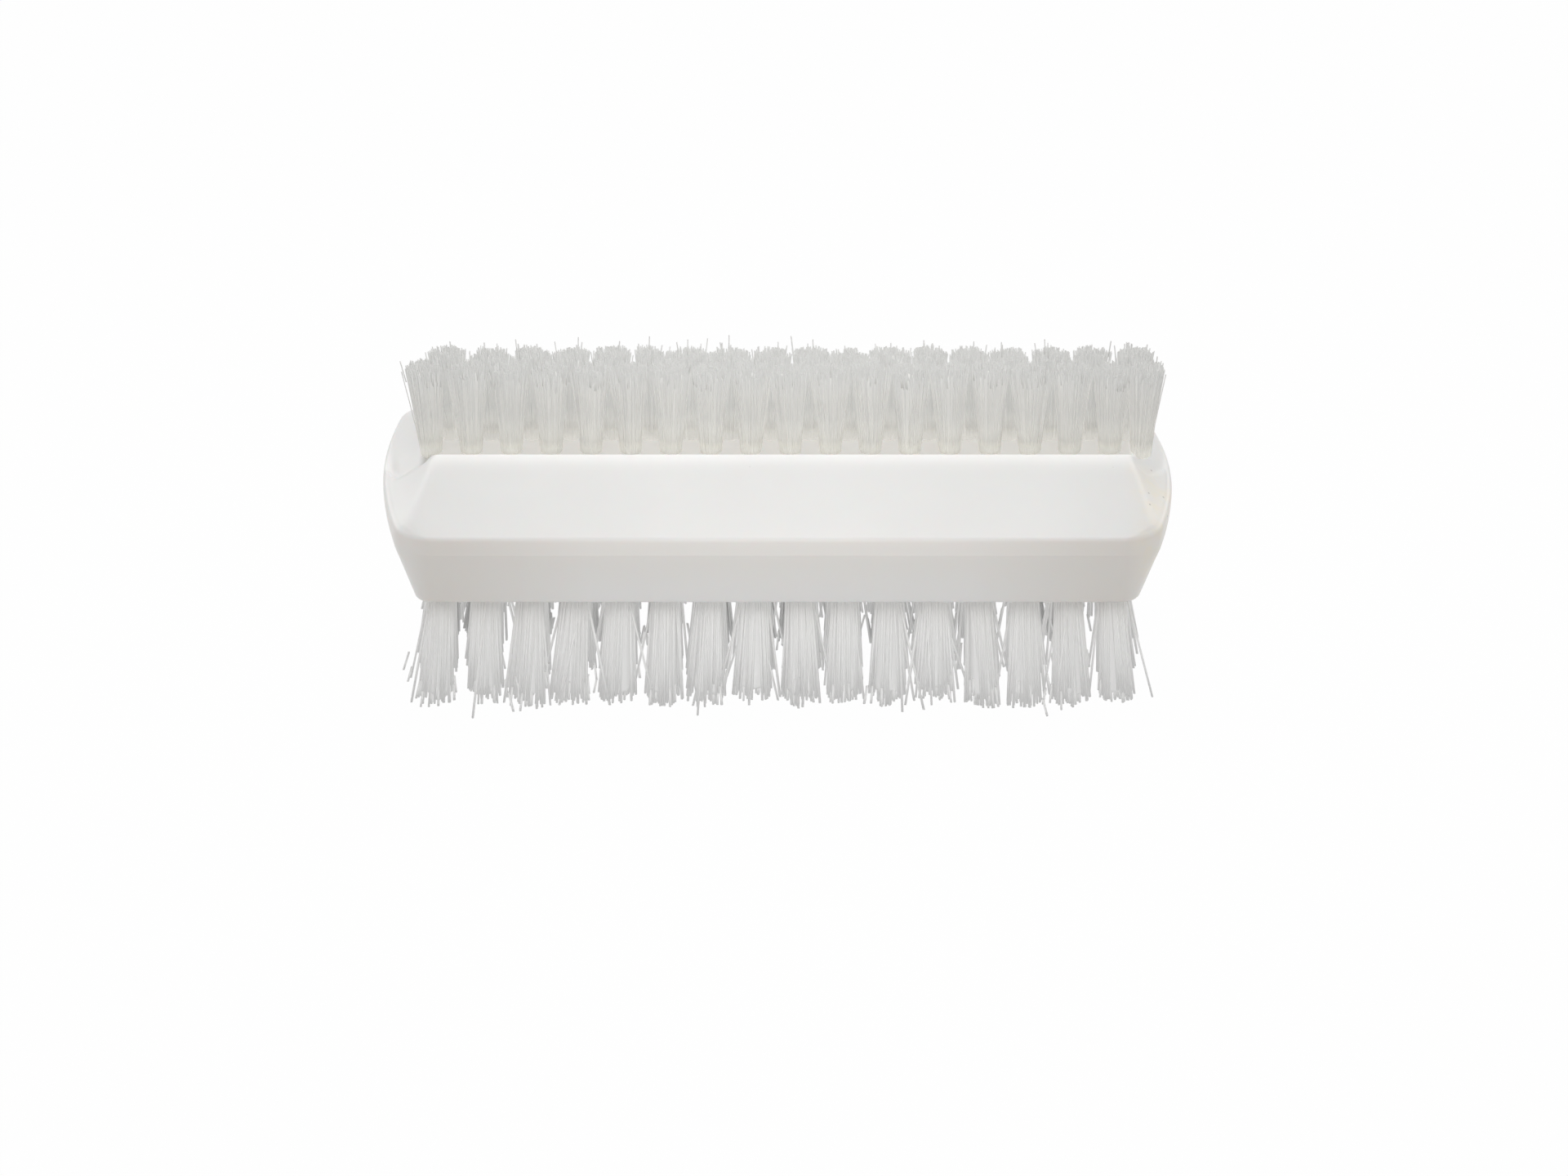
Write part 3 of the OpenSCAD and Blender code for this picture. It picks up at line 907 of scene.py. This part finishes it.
def make_row(node, places, base_z, tip_z, look, material, seed, shades=False):
    """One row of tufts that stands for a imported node: hearts, long filaments round them, and short
    ends that rise from the hearts' tops. Real nylon lets light through to its neighbours, so only a
    row that shades stops lamp light and bounced light."""
    rng = np.random.default_rng(seed)
    count = len(places)
    share = np.linspace(-1, 1, count)
    outwards = look["lean"] * np.sign(share) * np.abs(share) ** look["lean_power"]
    lean = np.stack([outwards, np.zeros(count)], axis=1) + rng.normal(0, look["tilt"], (count, 2))
    length = abs(tip_z - base_z) + look["reach"] - np.abs(rng.normal(0, look["uneven"], count))
    tufts = {
        "middle": np.stack([places, np.full(count, row_y[node])], axis=1),
        "lean": lean,
        "length": length[:, None],
        "base": base_z,
        "up": np.sign(tip_z - base_z),
    }
    long_t = np.linspace(0, 1, look["stretches"] + 1)
    end_t = np.array([CUT_ENDS_START, 1.0])
    heart_edge = look["heart"] * HEART_OVERLAP
    round_it = sow(look["long"], heart_edge, 1.0, places, rng)
    on_top = sow(look["ends"], 0.0, heart_edge, places, rng)
    parts = [
        hearts(tufts, look, rng),
        filaments(tufts, look, round_it, 0.0, long_t, look["sides"], rng),
        filaments(tufts, look, on_top, 0.0, end_t, look["sides"], rng),
    ]
    faces, first = [], 0
    for points, some, _, _ in parts:
        faces += [[corner + first for corner in face] for face in some]
        first += len(points)
    points, tone, along = (np.concatenate([part[k] for part in parts]) for k in (0, 2, 3))
    points[:, 2] = np.maximum(points[:, 2], 0.0)
    piece = make_piece(node.replace("tufts", "filaments"), points, faces, material)
    add_values(piece, "tone", tone)
    add_values(piece, "along", along)
    piece.visible_diffuse = piece.visible_shadow = shades
    piece.visible_glossy = tip_z < base_z
    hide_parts(node)
    print(piece.name, count * (look["long"] + look["ends"]), "filaments,", len(faces), "faces")


print("cut ends start at", CUT_ENDS_START, "of the length")

# %% [markdown]
# ## Nylon
#
# New nylon filament is clear to milky. In a bundle it reads as a cool off-white with fine light and
# dark lines, because each filament catches the light a little differently. Each filament stores a
# tone of its own, and the share of its length, so that the roots can be warmer than the tips. A
# clear bundle also carries light up from the white block. Clear filaments would need many bounces of
# light to show this, so the filaments are opaque here, that light is painted into them as paler
# roots, and their feet glow very weakly with painted light. The rear row of the crest is painted
# darker than the front row, as painted shade, and the stiff tufts are painted paler towards their
# tips, as painted light from below.

# %% Finish of the filaments
TONE_GLOSS = 0.06
ROOT_PATCHES = (0.35, 0.5)
GLOW_SPAN = (0.05, 0.2)


def nylon(name, pale, deep, root, root_span, tip, tip_start, roughness, glow=0.0):
    """Milky nylon: each filament's tone lies between a pale and a deep colour. Towards its root,
    over a span of shares of its length, and towards its tip it takes on two other colours: in the
    soft tufts the root colour is warmer, their own tone, and paler, painted light from the white
    block, and in the stiff tufts the tip colour is paler, painted light from below. Its foot can
    glow a little, painted light that a white block sends up through a clear bundle."""
    material, shader = new_material(name, Roughness=roughness, IOR=1.53)
    link = material.node_tree.links.new
    tone = add_node(material, "Attribute", attribute_name="tone").outputs["Fac"]
    along = add_node(material, "Attribute", attribute_name="along").outputs["Fac"]
    colour = mix_colours(material, tone, deep, pale)
    near_root = range_of(material, along, *root_span, 1.0, 0.0)
    near_tip = range_of(material, along, tip_start, 1.0)
    place = add_node(material, "TexCoord").outputs["Object"]
    patches = range_of(material, noise(material, place, 160.0, 2.0), *ROOT_PATCHES, 0.6, 1.0)
    colour = mix_colours(material, multiply(material, near_root, patches), colour, root)
    colour = mix_colours(material, near_tip, colour, tip)
    link(colour, shader.inputs["Base Color"])
    dull, glossy = roughness + TONE_GLOSS, roughness - TONE_GLOSS
    link(range_of(material, tone, 0.0, 1.0, dull, glossy), shader.inputs["Roughness"])
    shader.inputs["Emission Color"].default_value = root
    link(range_of(material, along, *GLOW_SPAN, glow, 0.0), shader.inputs["Emission Strength"])
    return material


# Front row: the paler roots and the feet's glow are painted light from the white block
warm_nylon = nylon(
    "soft_bristle_front", pale=(0.83, 0.82, 0.785, 1), deep=(0.76, 0.755, 0.73, 1),
    root=(0.94, 0.925, 0.86, 1), root_span=(0.1, 0.5),
    tip=(0.77, 0.77, 0.755, 1), tip_start=0.7, roughness=0.42, glow=0.2,
)
# Rear row: painted shade makes it darker than the front row, and its paler roots and glow are painted
# light
cool_shaded_nylon = nylon(
    "soft_bristle_shaded_rear", pale=(0.78, 0.78, 0.755, 1), deep=(0.72, 0.72, 0.70, 1),
    root=(0.96, 0.95, 0.91, 1), root_span=(0.16, 0.45),
    tip=(0.77, 0.77, 0.755, 1), tip_start=0.7, roughness=0.42, glow=0.25,
)
# Stiff tufts: the paler tips are painted light from below
stiff_nylon = nylon(
    "stiff_bristle", pale=(0.93, 0.93, 0.925, 1), deep=(0.86, 0.86, 0.85, 1),
    root=(0.89, 0.88, 0.865, 1), root_span=(0.0, 0.5),
    tip=(0.95, 0.95, 0.945, 1), tip_start=0.5, roughness=0.36,
)
print("materials", warm_nylon.name, cool_shaded_nylon.name, stiff_nylon.name)

# %% [markdown]
# ## Upper tufts
#
# The front row has 19 tufts and the rear row 18, half a pitch off it. The tufts open until their tips
# meet, so the rows look like one mat with a slightly domed, ragged edge. The last tufts lean out, and
# the very last one of the front row stands a little closer to its neighbour.
#
# The look of a row holds, in millimetres, the radius of a tuft's foot and its dome, how far it reaches
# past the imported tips, how far the last tufts lean, the spread of the tufts' tilt and length, the
# filaments' thickness, and how far they wander or fall short by clump, on their own and as strays. The
# rest are shares and counts: how much a tuft opens and by which power, its heart's share of it, and
# how many long filaments and cut ends it has.

# %% Upper tufts
UPPER_PITCH = 5.95
ROW_SHIFT = 0.8
LAST_DRAWN_IN = 1.2
UPPER_SEED = 10
UPPER_COUNT = {"upper_tufts_front": 19, "upper_tufts_rear": 18}
UPPER_LOOK = {
    "foot": 1.5, "open": 1.82, "power": 1.1, "heart": 0.86, "dome": 0.35,
    "reach": 0.9, "lean": 0.8, "lean_power": 7, "tilt": 0.15, "uneven": 0.35,
    "thick": 0.2, "long": 110, "ends": 230, "sides": 3, "stretches": 3,
    "clumps": 9, "clump": 0.25, "step": 0.35, "own": 0.22, "ragged": 0.3, "strays": 0.03, "far": 0.9,
    "proud": 0.9,
}
# How far below the block's surface the tufts' feet start
FOOT_DEPTH = 0.6


def row_places(count, pitch, middle):
    """Places of the tufts of a row along x."""
    return (np.arange(count) - (count - 1) / 2) * pitch + middle


upper_base_z = crest_z - CHANNEL_DEPTH - FOOT_DEPTH
for row, node in enumerate(UPPER_ROWS):
    places = row_places(UPPER_COUNT[node], UPPER_PITCH, upper_middle_x + ROW_SHIFT)
    places[-1] -= LAST_DRAWN_IN * (node == "upper_tufts_front")
    # The rear row's finish carries painted shade, so it is darker than the front row
    finish = (warm_nylon, cool_shaded_nylon)[row]
    make_row(
        node, places, upper_base_z, upper_tip_z, UPPER_LOOK, finish, UPPER_SEED + row,
    )

# %% [markdown]
# ## Lower tufts
#
# The stiff filaments are about twice as thick, so they can be counted one by one. They stay straight,
# fan out a little from each hole, and a few lean across the gap to the next tuft. Only one inner row
# shades the others, which is enough to darken the gaps.

# %% Lower tufts
LOWER_PITCH = 6.65
LOWER_COUNT = 16
LOWER_SEED = 20
LOWER_LOOK = {
    "foot": 1.88, "open": 1.4, "power": 1.0, "heart": 0.84, "dome": 0.0,
    "reach": 0.6, "lean": 1.0, "lean_power": 1, "tilt": 0.3, "uneven": 0.5,
    "thick": 0.38, "long": 46, "ends": 46, "sides": 5, "stretches": 2,
    "clumps": 10, "clump": 0.35, "step": 0.9, "own": 0.16, "ragged": 0.8, "strays": 0.12, "far": 2.0,
    "proud": 0.5,
}

lower_base_z = face_z + FOOT_DEPTH
for row, node in enumerate(LOWER_ROWS):
    places = row_places(LOWER_COUNT, LOWER_PITCH, 0)
    shades = node == "lower_tufts_mid_rear"
    make_row(
        node, places, lower_base_z, 0.0, LOWER_LOOK, stiff_nylon, LOWER_SEED + row, shades,
    )

# %% [markdown]
# ## Anchor wires
#
# The wires that hold the tufts lie deep in the block and don't show, but they keep their packed
# solids, in drawn steel with fine lines along the wire.

# %% Anchor wires
STEEL_COLOUR = (0.6, 0.6, 0.58, 1)
LINES_TO_A_METRE = (200, 8000, 8000)


def anchor_steel():
    """Drawn steel wire with fine lines along its length."""
    material, shader = new_material(
        "anchor_wire", Base_Color=STEEL_COLOUR, Metallic=1.0, Roughness=0.35,
    )
    link = material.node_tree.links.new
    place = add_node(material, "TexCoord").outputs["Object"]
    stretch = add_node(material, "Mapping")
    stretch.inputs["Scale"].default_value = LINES_TO_A_METRE
    link(place, stretch.inputs["Vector"])
    lines = noise(material, stretch.outputs[0], 1.0, 2.0)
    link(range_of(material, lines, 0.3, 0.7, 0.3, 0.45), shader.inputs["Roughness"])
    return material


steel = anchor_steel()
anchors = [node for name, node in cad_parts.items() if "anchors" in name]
for node in anchors:
    node.data.materials.clear()
    node.data.materials.append(steel)
print(len(anchors), "groups of wires in", steel.name)
